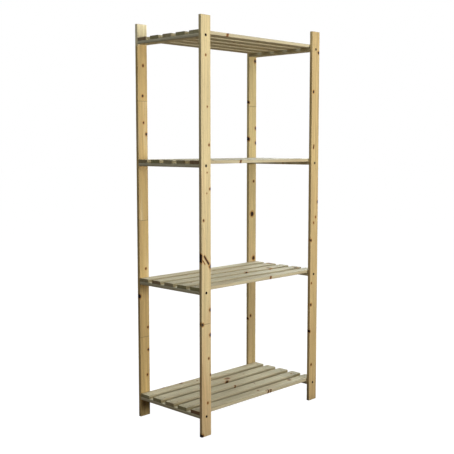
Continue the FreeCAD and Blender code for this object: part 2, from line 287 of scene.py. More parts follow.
flat = add(knot_group, "ShaderNodeCombineXYZ", {"X": leant, "Y": step["Y"]})[0]
flow = add(knot_group, "ShaderNodeVectorMath", {0: flat, 1: (GRAIN_STRETCH, 1, 0)}, operation="MULTIPLY")[0]
flow_reach = add(knot_group, "ShaderNodeVectorMath", {0: flow}, operation="LENGTH")["Value"]
clear = add(knot_group, "ShaderNodeMath", {0: flow_reach, 1: given["Radius"]}, operation="MAXIMUM")[0]
push = add(knot_group, "ShaderNodeMath", {0: given["Radius"], 1: clear}, operation="DIVIDE")[0]
push_squared = add(knot_group, "ShaderNodeMath", {0: push, 1: push}, operation="MULTIPLY")[0]
sideways = add(knot_group, "ShaderNodeMath", {0: step["Y"], 1: push_squared}, operation="MULTIPLY")[0]
aside = add(knot_group, "ShaderNodeCombineXYZ", {"Y": sideways})[0]
parted = add(knot_group, "ShaderNodeVectorMath", {0: given["Timber"], 1: aside}, operation="SUBTRACT")[0]
core = add(knot_group, "ShaderNodeVectorMath", {0: flat, 1: (CORE_STRETCH, 1, 0)}, operation="MULTIPLY")[0]
core_reach = add(knot_group, "ShaderNodeVectorMath", {0: core}, operation="LENGTH")["Value"]
ratio = add(knot_group, "ShaderNodeMath", {0: core_reach, 1: given["Radius"]}, operation="DIVIDE")[0]
lumps = add(knot_group, "ShaderNodeTexNoise", {"Vector": given["Timber"], "Scale": LUMPS_PER_MM,
                                               "Detail": 2})[0]
uneven = add(knot_group, "ShaderNodeMath", {0: lumps, 1: LUMPINESS, 2: -LUMPINESS / 2},
             operation="MULTIPLY_ADD")[0]
reach = add(knot_group, "ShaderNodeMath", {0: ratio, 1: uneven}, operation="ADD")[0]
nearest = add(knot_group, "ShaderNodeMath", {0: reach, 1: given["Nearness"]}, operation="LESS_THAN")[0]
age = add(knot_group, "ShaderNodeMix", {0: nearest, 2: given["Darkness"], 3: given["Age"]},
          data_type="FLOAT")[0]
least = add(knot_group, "ShaderNodeMath", {0: reach, 1: given["Nearness"]}, operation="MINIMUM")[0]
add(knot_group, "NodeGroupOutput", {"Timber": parted, "Nearness": least, "Darkness": age})

# A finger joint shows as a straight glue line on the broad faces and as a zigzag on the edges. Past it
# the next length of timber starts, with other grain.
FINGER_PITCH = 3.8
FINGER_LENGTH = 10
GLUE_CORE = 0.6
GLUE_EDGE = 1.6
joint_group = new_group("Finger joint", (("V", "Timber"), ("F", "Length"), ("F", "Glue"), ("F", "Place")),
                        (("F", "Length"), ("F", "Glue")))
given = add(joint_group, "NodeGroupInput", {})
step = add(joint_group, "ShaderNodeSeparateXYZ", {0: given["Timber"]})
tooth = add(joint_group, "ShaderNodeMath", {0: step["Z"], 1: FINGER_PITCH / 2}, operation="PINGPONG")[0]
finger = add(joint_group, "ShaderNodeMath", {0: tooth, 1: FINGER_LENGTH * 2 / FINGER_PITCH,
                                             2: given["Place"]}, operation="MULTIPLY_ADD")[0]
past = add(joint_group, "ShaderNodeMath", {0: step["X"], 1: finger}, operation="SUBTRACT")[0]
beyond = add(joint_group, "ShaderNodeMath", {0: past, 1: 0}, operation="GREATER_THAN")[0]
count = add(joint_group, "ShaderNodeMath", {0: given["Length"], 1: beyond}, operation="ADD")[0]
off_line = add(joint_group, "ShaderNodeMath", {0: past}, operation="ABSOLUTE")[0]
line = add(joint_group, "ShaderNodeMapRange", {"Value": off_line, "From Min": GLUE_EDGE,
                                               "From Max": GLUE_CORE}, interpolation_type="SMOOTHSTEP")[0]
glued = add(joint_group, "ShaderNodeMath", {0: line, 1: given["Glue"]}, operation="MAXIMUM")[0]
add(joint_group, "NodeGroupOutput", {"Length": count, "Glue": glued})

# Planed pine: pale spring wood with honey summer-wood lines, warm heart streaks, a satin face with
# fibre sheen, and end grain that is darker because it swallows light. The rings are those of one trunk,
# so the lines on a face run into the arcs on the end. Real rings are 1.5 to 3 mm apart, which the
# photograph's 4 mm pixels can't show, so they are drawn 4 to 7 mm apart; the fibres are drawn 1 mm wide.
RESIN = "B5771E"
LIVE_KNOT = "74410C"
DEAD_KNOT = "2A1602"
GLUE = "6E5132"
RING_WIDTHS = (4, 7)
LOG_SPREAD = (173, 31, 0)
SEASON_SCALE = 0.07
SEASON_SWING = 1.6
YEAR_SPREAD = 0.37
TAPER = 0.006

# How far each pattern runs along the grain and how wide it is, in millimetres.
WANDER_RUN = 420
WANDER = 22
CURL_RUN = 80
CURL_WIDTH = 16
CURL = 2.4
FIBRE_RUN = 50
FIBRE_WIDTH = 1
STREAK_RUN = 260
STREAK_WIDTH = 7
PATCH_RUN = 300
PATCH_WIDTH = 45
DUCT_RUN = 9
DUCT_WIDTH = 0.8

# How much each mark colours the wood, how rough it leaves it, and how far it stands out or sinks in.
SUMMER_SHARE = 0.45
DUCT_SHADE = 0.3
HALO_SHARE = 0.75
KNOT_YEARS = 14
GLUE_SHARE = 0.65
# Arrises darken in streaks: handling grime, together with painted shade along every board edge.
SOIL_AND_SHADE = 1.1
EDGE_FULLY_DARK = 0.6
SUMMER_POLISH = 0.1
END_ROUGHNESS = 0.2
SUMMER_RIDGE = 0.6
DUCT_PIT = 0.8
KNOT_RIDGE = 0.8
GLUE_GROOVE = 0.7
pine_group = new_group("Pine figure", (("V", "Timber"), ("V", "Pith"), ("F", "Ring"), ("F", "Seed"),
                                       ("F", "Heart"), ("F", "Nearness"), ("F", "Darkness"),
                                       ("F", "Glue"), ("F", "End"), ("C", "End grain"), ("F", "Arris"),
                                       ("C", "Spring"), ("C", "Heartwood"), ("C", "Summer")),
                       (("C", "Color"), ("F", "Roughness"), ("F", "Height")))
given = add(pine_group, "NodeGroupInput", {})
log = add(pine_group, "ShaderNodeCombineXYZ", {"X": given["Seed"], "Y": given["Seed"]})[0]
log_place = add(pine_group, "ShaderNodeVectorMath", {0: log, 1: LOG_SPREAD}, operation="MULTIPLY")[0]
grown = add(pine_group, "ShaderNodeVectorMath", {0: given["Timber"], 1: log_place}, operation="ADD")[0]
step = add(pine_group, "ShaderNodeSeparateXYZ", {0: grown})
wander_place = add(pine_group, "ShaderNodeVectorMath", {0: grown, 1: (1 / WANDER_RUN, 0, 0)},
                   operation="MULTIPLY")[0]
wander = add(pine_group, "ShaderNodeTexNoise", {"Vector": wander_place, "Scale": 1, "Detail": 2})["Color"]
drift = add(pine_group, "ShaderNodeVectorMath", {0: wander, 1: (0, WANDER, WANDER),
                                                 2: (0, -WANDER / 2, -WANDER / 2)},
            operation="MULTIPLY_ADD")[0]
from_pith = add(pine_group, "ShaderNodeVectorMath", {0: given["Timber"], 1: given["Pith"]},
                operation="SUBTRACT")[0]
drifted = add(pine_group, "ShaderNodeVectorMath", {0: from_pith, 1: drift}, operation="ADD")[0]
in_section = add(pine_group, "ShaderNodeVectorMath", {0: drifted, 1: (0, 1, 1)}, operation="MULTIPLY")[0]
radius = add(pine_group, "ShaderNodeVectorMath", {0: in_section}, operation="LENGTH")["Value"]
tapered = add(pine_group, "ShaderNodeMath", {0: step["X"], 1: TAPER, 2: radius}, operation="MULTIPLY_ADD")[0]
curl_place = add(pine_group, "ShaderNodeVectorMath", {0: grown, 1: (1 / CURL_RUN, 1 / CURL_WIDTH,
                                                                    1 / CURL_WIDTH)},
                 operation="MULTIPLY")[0]
curl = add(pine_group, "ShaderNodeTexNoise", {"Vector": curl_place, "Scale": 1, "Detail": 1})[0]
curled = add(pine_group, "ShaderNodeMath", {0: curl, 1: CURL, 2: tapered}, operation="MULTIPLY_ADD")[0]
seasons = add(pine_group, "ShaderNodeTexNoise", {"W": curled, "Scale": SEASON_SCALE, "Detail": 1},
              noise_dimensions="1D")[0]
ring_count = add(pine_group, "ShaderNodeMath", {0: curled, 1: given["Ring"]}, operation="DIVIDE")[0]
ring_place = add(pine_group, "ShaderNodeMath", {0: seasons, 1: SEASON_SWING, 2: ring_count},
                 operation="MULTIPLY_ADD")[0]
year = add(pine_group, "ShaderNodeMath", {0: ring_place}, operation="FLOOR")[0]
season = add(pine_group, "ShaderNodeMath", {0: ring_place}, operation="FRACT")[0]
year_seed = add(pine_group, "ShaderNodeMath", {0: given["Seed"], 1: YEAR_SPREAD, 2: year},
                operation="MULTIPLY_ADD")[0]
year_luck = add(pine_group, "ShaderNodeTexWhiteNoise", {"W": year_seed}, noise_dimensions="1D")["Value"]
year_depth = add(pine_group, "ShaderNodeMapRange", {"Value": year_luck, "To Min": 0.3})[0]
ripening = add(pine_group, "ShaderNodeMapRange", {"Value": season, "From Min": 0.25, "From Max": 0.88},
               interpolation_type="SMOOTHSTEP")[0]
winter = add(pine_group, "ShaderNodeMapRange", {"Value": season, "From Min": 1, "From Max": 0.93},
             interpolation_type="SMOOTHSTEP")[0]
ring_line = add(pine_group, "ShaderNodeMath", {0: ripening, 1: winter}, operation="MULTIPLY")[0]
summer = add(pine_group, "ShaderNodeMath", {0: ring_line, 1: year_depth}, operation="MULTIPLY")[0]
fibre_place = add(pine_group, "ShaderNodeVectorMath", {0: grown, 1: (1 / FIBRE_RUN, 1 / FIBRE_WIDTH,
                                                                     1 / FIBRE_WIDTH)},
                  operation="MULTIPLY")[0]
fibre = add(pine_group, "ShaderNodeTexNoise", {"Vector": fibre_place, "Scale": 1, "Detail": 2})[0]
streak_place = add(pine_group, "ShaderNodeVectorMath", {0: grown, 1: (1 / STREAK_RUN, 1 / STREAK_WIDTH,
                                                                      1 / STREAK_WIDTH)},
                   operation="MULTIPLY")[0]
streak = add(pine_group, "ShaderNodeTexNoise", {"Vector": streak_place, "Scale": 1, "Detail": 2})[0]
patch_place = add(pine_group, "ShaderNodeVectorMath", {0: grown, 1: (1 / PATCH_RUN, 1 / PATCH_WIDTH,
                                                                     1 / PATCH_WIDTH)},
                  operation="MULTIPLY")[0]
patch = add(pine_group, "ShaderNodeTexNoise", {"Vector": patch_place, "Scale": 1, "Detail": 2})[0]
duct_place = add(pine_group, "ShaderNodeVectorMath", {0: grown, 1: (1 / DUCT_RUN, 1 / DUCT_WIDTH,
                                                                    1 / DUCT_WIDTH)},
                 operation="MULTIPLY")[0]
duct_noise = add(pine_group, "ShaderNodeTexNoise", {"Vector": duct_place, "Scale": 1, "Detail": 0})[0]
duct = add(pine_group, "ShaderNodeMapRange", {"Value": duct_noise, "From Min": 0.7, "From Max": 0.78},
           interpolation_type="SMOOTHSTEP")[0]
heart_edge = add(pine_group, "ShaderNodeMath", {0: patch, 1: given["Heart"]}, operation="ADD")[0]
heart = add(pine_group, "ShaderNodeMapRange", {"Value": heart_edge, "From Min": 0.45, "From Max": 0.95},
            interpolation_type="SMOOTHSTEP")[0]
pale = add(pine_group, "ShaderNodeMix", {0: heart, 6: given["Spring"], 7: given["Heartwood"]},
           data_type="RGBA")[2]
summer_share = add(pine_group, "ShaderNodeMath", {0: summer, 1: SUMMER_SHARE}, operation="MULTIPLY")[0]
ringed = add(pine_group, "ShaderNodeMix", {0: summer_share, 6: pale, 7: given["Summer"]}, data_type="RGBA")[2]
streak_tone = add(pine_group, "ShaderNodeMapRange", {"Value": streak, "From Min": 0.25, "From Max": 0.75,
                                                     "To Min": 0.84, "To Max": 1.12})[0]
fibre_tone = add(pine_group, "ShaderNodeMapRange", {"Value": fibre, "From Min": 0.25, "From Max": 0.75,
                                                    "To Min": 0.92, "To Max": 1.06})[0]
duct_tone = add(pine_group, "ShaderNodeMath", {0: duct, 1: -DUCT_SHADE, 2: fibre_tone},
                operation="MULTIPLY_ADD")[0]
tone = add(pine_group, "ShaderNodeMath", {0: streak_tone, 1: duct_tone}, operation="MULTIPLY")[0]
toned = add(pine_group, "ShaderNodeVectorMath", {0: ringed, "Scale": tone}, operation="SCALE")[0]
halo = add(pine_group, "ShaderNodeMapRange", {"Value": given["Nearness"], "From Min": 2, "From Max": 1,
                                              "To Max": HALO_SHARE}, interpolation_type="SMOOTHSTEP")[0]
resinous = add(pine_group, "ShaderNodeMix", {0: halo, 6: toned, 7: linear(RESIN)}, data_type="RGBA")[2]
knot_age = add(pine_group, "ShaderNodeMix", {0: given["Darkness"], 6: linear(LIVE_KNOT),
                                             7: linear(DEAD_KNOT)}, data_type="RGBA")[2]
knot_years = add(pine_group, "ShaderNodeMath", {0: given["Nearness"], 1: KNOT_YEARS}, operation="MULTIPLY")[0]
knot_ring = add(pine_group, "ShaderNodeMath", {0: knot_years}, operation="SINE")[0]
knot_tone = add(pine_group, "ShaderNodeMapRange", {"Value": knot_ring, "From Min": -1, "To Min": 0.8,
                                                   "To Max": 1.2})[0]
knot_colour = add(pine_group, "ShaderNodeVectorMath", {0: knot_age, "Scale": knot_tone}, operation="SCALE")[0]
knot_share = add(pine_group, "ShaderNodeMapRange", {"Value": given["Nearness"], "From Min": 1.08,
                                                    "From Max": 0.85}, interpolation_type="SMOOTHSTEP")[0]
knotted = add(pine_group, "ShaderNodeMix", {0: knot_share, 6: resinous, 7: knot_colour}, data_type="RGBA")[2]
glue_share = add(pine_group, "ShaderNodeMath", {0: given["Glue"], 1: GLUE_SHARE}, operation="MULTIPLY")[0]
glued = add(pine_group, "ShaderNodeMix", {0: glue_share, 6: knotted, 7: linear(GLUE)}, data_type="RGBA")[2]
ended = add(pine_group, "ShaderNodeMix", {0: given["End"], 6: glued, 7: given["End grain"]}, data_type="RGBA",
            blend_type="MULTIPLY")[2]
# The arrises are darkened in streaks: grime from handling, and painted shade along the edges and in the gaps
# between slats.
edge_weight = add(pine_group, "ShaderNodeMapRange", {"Value": given["Arris"], "From Min": ARRIS_LEAST,
                                                 "From Max": EDGE_FULLY_DARK})[0]
soil_and_shade = add(pine_group, "ShaderNodeMath", {0: edge_weight, 1: streak}, operation="MULTIPLY")[0]
soiled_and_shaded = add(pine_group, "ShaderNodeMath", {0: soil_and_shade, 1: -SOIL_AND_SHADE, 2: 1}, operation="MULTIPLY_ADD")[0]
colour = add(pine_group, "ShaderNodeVectorMath", {0: ended, "Scale": soiled_and_shaded}, operation="SCALE")[0]
satin = add(pine_group, "ShaderNodeMapRange", {"Value": fibre, "From Min": 0.2, "From Max": 0.8,
                                               "To Min": 0.5, "To Max": 0.68})[0]
polished = add(pine_group, "ShaderNodeMath", {0: summer, 1: -SUMMER_POLISH, 2: satin},
               operation="MULTIPLY_ADD")[0]
rough = add(pine_group, "ShaderNodeMath", {0: given["End"], 1: END_ROUGHNESS, 2: polished},
            operation="MULTIPLY_ADD")[0]
raised = add(pine_group, "ShaderNodeMath", {0: summer, 1: SUMMER_RIDGE, 2: fibre},
             operation="MULTIPLY_ADD")[0]
pitted = add(pine_group, "ShaderNodeMath", {0: duct, 1: -DUCT_PIT, 2: raised}, operation="MULTIPLY_ADD")[0]
proud = add(pine_group, "ShaderNodeMath", {0: knot_share, 1: KNOT_RIDGE, 2: pitted},
            operation="MULTIPLY_ADD")[0]
height = add(pine_group, "ShaderNodeMath", {0: given["Glue"], 1: -GLUE_GROOVE, 2: proud},
             operation="MULTIPLY_ADD")[0]
add(pine_group, "NodeGroupOutput", {"Color": colour, "Roughness": rough, "Height": height})

# Each board is cut from its own place in a log: a seed, the way to the pith, and how its ends weathered.
# Past a finger joint the log, its share of heartwood and its pith step on.
draw = random.Random(53)
SEEDS = 40
PITH_ACROSS = (8, 45)
PITH_THROUGH = (25, 70)
PITH_STEP = (0, 60, 30)
LOG_STEP = 13.7
HEART_STEP = 0.3
END_TONES = (0.55, 1)

# A knot this many times its own radius away is too far to show.
NO_KNOT = 9.0

# Within this many millimetres of a board's end, its end grain shows in full.
END_SKIN = 0.4

# Sawn ends weather differently from log to log: greyish, red-brown or a little green.
END_GRAINS = ("DAD4C2", "B08C74", "CCD0B4")

# Round each screw head the wood is painted near-black for some millimetres from its middle. It is painted
# shade in the countersink, together with the screws' black coat rubbed into the crushed fibres.
COUNTERSINK_SHADE = "3A1D02"
SHADE_RING = 5.4
SHADE_RING_SHARE = 0.96


def new_material(name):
    """A material with an empty node tree."""
    material = bpy.data.materials.new(name)
    material.use_nodes = True
    material.node_tree.nodes.clear()
    return material


def planed_pine(node, order, knots, joints, heart, palette, screws=()):
    """The timber of one board. Order names the axes along, across and through it. Knots are (along, across,
    through, width, age) and, for a branch cut lengthwise, half its run along and across; knots and joints
    are in millimetres from the board's middle. Heart is two places along the board, each with its share of
    heartwood; the share is steady beyond them."""
    low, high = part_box(node)
    middle = (low + high) / 2
    length = (high - low)["XYZ".index(order[0])] / MM
    seed = draw.uniform(0, SEEDS)
    pith = (0, draw.choice((-1, 1)) * draw.uniform(*PITH_ACROSS),
            draw.choice((-1, 1)) * draw.uniform(*PITH_THROUGH))
    ring = draw.uniform(*RING_WIDTHS)
    end_tone = draw.uniform(*END_TONES)
    end_grain = linear(END_GRAINS[round(seed * 10) % len(END_GRAINS)])

    material = new_material("planed_pine_" + node)
    tree = material.node_tree
    place = add(tree, "ShaderNodeTexCoord", {})["Object"]
    axes = add(tree, "ShaderNodeSeparateXYZ", {0: place})
    turned = add(tree, "ShaderNodeCombineXYZ", {"X": axes[order[0]], "Y": axes[order[1]],
                                                "Z": axes[order[2]]})[0]
    centre = [-middle["XYZ".index(axis)] / MM for axis in order]
    timber = add(tree, "ShaderNodeMapping", {"Vector": turned, "Location": centre, "Scale": (1 / MM,) * 3})[0]
    turned_board = timber
    along = add(tree, "ShaderNodeSeparateXYZ", {0: timber})["X"]
    off_middle = add(tree, "ShaderNodeMath", {0: along}, operation="ABSOLUTE")[0]
    end = add(tree, "ShaderNodeMapRange", {"Value": off_middle, "From Min": length / 2 - 2 * END_SKIN,
                                           "From Max": length / 2 - END_SKIN, "To Max": end_tone})[0]
    (start, first), (stop, last) = heart
    heart = add(tree, "ShaderNodeMapRange", {"Value": along, "From Min": start, "From Max": stop,
                                             "To Min": first, "To Max": last})[0]
    lengths, glue = 0.0, 0.0
    for joint in joints:
        spliced = add(tree, "ShaderNodeGroup", {"Timber": timber, "Length": lengths, "Glue": glue,
                                                "Place": joint}, node_tree=joint_group)
        lengths, glue = spliced["Length"], spliced["Glue"]
    nearness, darkness = NO_KNOT, 0.0
    for knot_along, across, through, width, age, *spike in knots:
        grown = add(tree, "ShaderNodeGroup", {"Timber": timber, "Nearness": nearness, "Darkness": darkness,
                                              "Place": (knot_along, across, through), "Radius": width / 2,
                                              "Spike": (*spike, 0) if spike else (0, 0, 0), "Age": age},
                    node_tree=knot_group)
        timber, nearness, darkness = grown["Timber"], grown["Nearness"], grown["Darkness"]
    if joints:
        other_log = add(tree, "ShaderNodeMath", {0: lengths, 1: LOG_STEP, 2: seed},
                        operation="MULTIPLY_ADD")[0]
        luck = add(tree, "ShaderNodeTexWhiteNoise", {"W": other_log}, noise_dimensions="1D")
        shade = add(tree, "ShaderNodeMath", {0: luck["Value"], 1: HEART_STEP, 2: heart},
                    operation="MULTIPLY_ADD")[0]
        nearest_pith = (0, pith[1] - PITH_STEP[1] / 2, pith[2])
        pith = add(tree, "ShaderNodeVectorMath", {0: luck["Color"], 1: PITH_STEP, 2: nearest_pith},
                   operation="MULTIPLY_ADD")[0]
    else:
        other_log, shade = seed, heart
    arris = add(tree, "ShaderNodeAttribute", {}, attribute_name="arris")["Fac"]
    pine = add(tree, "ShaderNodeGroup", {"Timber": timber, "Pith": pith, "Ring": ring, "Seed": other_log,
                                         "Heart": shade, "Nearness": nearness, "Darkness": darkness,
                                         "Glue": glue, "End": end, "End grain": end_grain, "Arris": arris,
                                         "Spring": linear(palette[0]), "Heartwood": linear(palette[1]),
                                         "Summer": linear(palette[2])}, node_tree=pine_group)
    colour = pine["Color"]
    # Painted shade round each screw head, with the black coat rubbed into the fibres.
    for screw in screws:
        off_screw = add(tree, "ShaderNodeVectorMath", {0: turned_board, 1: (screw, 0, 0)},
                        operation="SUBTRACT")[0]
        on_face = add(tree, "ShaderNodeVectorMath", {0: off_screw, 1: (1, 1, 0)}, operation="MULTIPLY")[0]
        reach = add(tree, "ShaderNodeVectorMath", {0: on_face}, operation="LENGTH")["Value"]
        rub_and_shade = add(tree, "ShaderNodeMapRange", {"Value": reach, "From Min": SHADE_RING + 1, "From Max": SHADE_RING,
                                                  "To Max": SHADE_RING_SHARE}, interpolation_type="SMOOTHSTEP")[0]
        colour = add(tree, "ShaderNodeMix", {0: rub_and_shade, 6: colour, 7: linear(COUNTERSINK_SHADE)},
                     data_type="RGBA")[2]
    relief = add(tree, "ShaderNodeBump", {"Strength": 0.5, "Distance": 0.2 * MM, "Height": pine["Height"]})[0]
    surface = add(tree, "ShaderNodeBsdfPrincipled", {"Base Color": colour, "Roughness": pine["Roughness"],
                                                     "IOR": 1.53, "Specular IOR Level": 0.35,
                                                     "Normal": relief})[0]
    add(tree, "ShaderNodeOutputMaterial", {"Surface": surface})
    return material


# Each post's knots: height above the floor, place across its front face from left to right, width and age,
# and for a branch cut lengthwise half its run along and across.
POST_KNOTS = {
    "back_left_post": ((1528, 4, 10, 0.8), (1400, 0, 10, 0.9), (1287, 4, 8, 0.7), (1238, 18, 11, 1.0),
                       (655, 9, 9, 0.6), (536, -26, 14, 1.0), (394, 18, 9, 0.7), (293, 19, 10, 0.9),
                       (181, 13, 9, 0.6)),
    "front_left_post": ((1544, 0, 7, 0.5), (1343, 8, 6, 0.5), (1192, 17, 8, 0.5), (1082, 6, 5, 0.2),
                        (1016, 22, 9, 0.8), (999, 5, 5, 0.2), (891, -14, 8, 0.6), (729, 2, 8, 0.8, -16, 12),
                        (722, -12, 4, 0.0, -8, 6), (738, -28, 14, 1.0, 10, 0), (702, 21, 13, 1.0),
                        (524, 22, 11, 0.8), (468, -20, 12, 1.0), (420, 22, 12, 0.9), (324, 13, 8, 0.7),
                        (254, 23, 8, 0.7), (139, 7, 8, 0.1), (4, -23, 13, 1.0)),
    "back_right_post": ((1597, 17, 14, 1.0), (1397, -25, 10, 0.8), (1273, 23, 13, 0.8), (1220, -25, 14, 1.0),
                        (1202, 23, 13, 1.0), (1015, 9, 10, 0.8), (854, -2, 21, 1.0), (634, 9, 17, 0.9),
                        (346, -11, 11, 0.9), (332, -26, 8, 0.7)),
    "front_right_post": ((1608, 20, 11, 0.9), (1432, -14, 11, 1.0), (1184, -9, 7, 0.7, 6, 1),
                         (931, 24, 11, 0.8), (861, 10, 8, 0.4), (836, -3, 8, 0.5), (755, -21, 10, 0.8),
                         (555, -16, 8, 0.5), (454, -18, 11, 0.9), (329, -25, 10, 0.9), (169, -12, 10, 0.9)),
}
POST_JOINTS = {"back_left_post": (350, 864, 1375), "front_left_post": (465,), "back_right_post": (1376,),
               "front_right_post": ()}

# Heartwood along the posts, as heights and shares. On three posts the share rises towards the feet, so they
# turn warmer and more orange downwards, which is painted warm light thrown up from the floor. The back left
# post turns pale just behind the top shelf.
WARM_FOOT_HEART = ((0, 0.3), (1700, -0.3))
POST_HEART = {"back_left_post": ((1600, 0.42), (1645, -0.6)), "front_left_post": WARM_FOOT_HEART,
              "back_right_post": WARM_FOOT_HEART, "front_right_post": WARM_FOOT_HEART}

# The posts come from different trees: each has its own pale, heart and summer-wood colours.
POST_PINE = {
    "back_left_post": ("FFF2C8", "D3B679", "B28F5C"),
    "front_left_post": ("E2D09E", "DDC190", "B99B69"),
    "back_right_post": ("E3CF95", "DEC695", "B89661"),
    "front_right_post": ("D3BA84", "CBAF7D", "A88751"),
}

# The countersink takes an 8 mm head at 90 degrees, then a clearance hole through the post, then the pilot
# hole that the thread bites in the end of the bearer. It starts just clear of the face.
SCREW_HEAD = 4 * MM
SCREW_BIT = ((-0.5 * MM, 4.95 * MM), (2.2 * MM, 2.25 * MM), (14 * MM, 2.25 * MM), (14.01 * MM, 2.05 * MM),
             (50.1 * MM, 2.05 * MM))
screw_bits = []
screw_heights = []
post_middle = sum(corner.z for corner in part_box("front_left_post")) / 2
for shelf in SHELVES:
    low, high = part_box(shelf + "_shelf_post_screws")
    screw_x = high.x - SCREW_HEAD
    screw_z = (low.z + high.z) / 2
    screw_heights.append((screw_z - post_middle) / MM)
    for side in (-1, 1):
        front = (side * screw_x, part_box("front_left_post")[0].y, screw_z)
        back = (side * screw_x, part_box("back_left_post")[1].y, screw_z)
        screw_bits.append(bit(SCREW_BIT, front, (math.pi / 2, 0, 0)))
        screw_bits.append(bit(SCREW_BIT, back, (-math.pi / 2, 0, 0)))
screw_bits = bits_together(screw_bits)

post_strip = planed_strip("front_left_post")
for node in POST_KNOTS:
    post = copy_strip(post_strip, "front_left_post", node)
    weather(post)
    drill(post, screw_bits)
    low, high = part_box(node)
    half = (high.z - low.z) / 2 / MM
    face = -(high.y - low.y) / 2 / MM
    knots = [(height - half, across, face, *shape) for height, across, *shape in POST_KNOTS[node]]
    joints = [height - half for height in POST_JOINTS[node]]
    heart = [(height - half, share) for height, share in POST_HEART[node]]
    timber = planed_pine(node, "ZXY", knots, joints, heart, POST_PINE[node], screw_heights)
    finish_board(post, node, timber)
bpy.data.objects.remove(post_strip)

# Bearers
# Short flat strips of the same pine from a front post to a back post, two under each shelf. A screw
# through each post bites into the end grain, and the slats are nailed down on to them.
BEARER_PINE = ("DED6B6", "D4C49C", "B0A07A")
BEARER_TOP = 7

# Each bearer has one share of heartwood all along it, drawn from this range, and so has each slat.
BEARER_HEART = (-0.1, 0.2)


def small_knots(run, side, through, widths, ages):
    """Up to two small knots, placed by luck no further than a run along and a side across from the middle."""
    return [(draw.uniform(-run, run), draw.uniform(-side, side), through, draw.uniform(*widths),
             draw.uniform(*ages)) for knot in range(draw.randint(0, 2))]


bearer_strip = planed_strip("bottom_shelf_left_bearer")
bearers = {}
for shelf in SHELVES:
    for side in ("left", "right"):
        node = f"{shelf}_shelf_{side}_bearer"
        bearer = copy_strip(bearer_strip, "bottom_shelf_left_bearer", node)
        weather(bearer)
        drill(bearer, screw_bits)
        knots = small_knots(run=170, side=24, through=BEARER_TOP, widths=(6, 11), ages=(0.3, 0.9))
        share = draw.uniform(*BEARER_HEART)
        timber = planed_pine(node, "YXZ", knots, (), ((-1, share), (1, share)), BEARER_PINE)
        finish_board(bearer, node, timber)
        bearers[node] = bearer
bpy.data.objects.remove(bearer_strip)
bpy.data.objects.remove(screw_bits)

# Slats
# Five strips of the same pine side by side make each shelf, with open gaps between them. They are
# nailed to the bearers with two nails at each end, whose heads are driven just under the face.
SLAT_PINE = ("CEC4A3", "C4B18B", "A28F69")
SLAT_HEART = (-0.15, 0.15)
SLAT_NUMBERS = (1, 2, 3, 4, 5)
NAIL_HEAD = 2.25 * MM
NAIL_STAGGER = 14 * MM
NAIL_ACROSS = 13.5 * MM
NAIL_BIT = ((-0.1 * MM, 3.4 * MM), (0.25 * MM, 2.3 * MM), (1 * MM, 2.3 * MM), (1.01 * MM, 1.05 * MM),
            (25.1 * MM, 1.05 * MM))

# Each slat's knots: along from its middle, across from its middle line, down from its top face, then
# width and age.
SLAT_KNOTS = {
    "top_shelf_slat_1": ((-208, -26, 4, 9, 0.1),),
    "upper_shelf_slat_1": ((-130, -26, 6, 8, 0.6),),
    "lower_shelf_slat_1": ((66, -26, 1, 8, 0.2),),
    "lower_shelf_slat_2": ((-300, 25, 2, 12, 0.8), (346, -14, 0, 18, 0.9)),
    "lower_shelf_slat_3": ((78, -22, 0, 14, 0.6), (244, -15, 0, 19, 0.9)),
    "lower_shelf_slat_4": ((362, 2, 0, 20, 0.9),),
    "bottom_shelf_slat_1": ((244, 13, 0, 14, 1.0), (42, -21, 0, 6, 0.6), (70, -24, 2, 8, 0.9)),
    "bottom_shelf_slat_3": ((5, -24, 0, 8, 0.6),),
    "bottom_shelf_slat_4": ((56, -2, 0, 17, 0.3), (33, -24, 0, 14, 0.6)),
    "bottom_shelf_slat_5": ((-249, 25, 0, 13, 0.8), (-144, 21, 0, 13, 0.8)),
}
slat_strip = planed_strip("bottom_shelf_slat_1")
for shelf in SHELVES:
    nail_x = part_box(shelf + "_shelf_slat_nails")[1].x - NAIL_HEAD
    nail_bits = []
    for number in SLAT_NUMBERS:
        low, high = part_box(f"{shelf}_shelf_slat_{number}")
        for side in (-1, 1):
            for x, across in ((nail_x, NAIL_ACROSS), (nail_x - NAIL_STAGGER, -NAIL_ACROSS)):
                nail_bits.append(bit(NAIL_BIT, (side * x, (low.y + high.y) / 2 + across, high.z), (0, 0, 0)))
    nail_bits = bits_together(nail_bits)
    for number in SLAT_NUMBERS:
        node = f"{shelf}_shelf_slat_{number}"
        slat = copy_strip(slat_strip, "bottom_shelf_slat_1", node)
        weather(slat)
        drill(slat, nail_bits)
        low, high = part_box(node)
        face = (high.z - low.z) / 2 / MM
        knots = [(along, across, face - down, width, age)
                 for along, across, down, width, age in SLAT_KNOTS.get(node, ())]
        knots += small_knots(run=340, side=25, through=0, widths=(5, 9), ages=(0.2, 0.8))
        share = draw.uniform(*SLAT_HEART)
        timber = planed_pine(node, "XYZ", knots, (), ((-1, share), (1, share)), SLAT_PINE)
        finish_board(slat, node, timber)
    for side in ("left", "right"):
        drill(bearers[f"{shelf}_shelf_{side}_bearer"], nail_bits)
    bpy.data.objects.remove(nail_bits)
bpy.data.objects.remove(slat_strip)

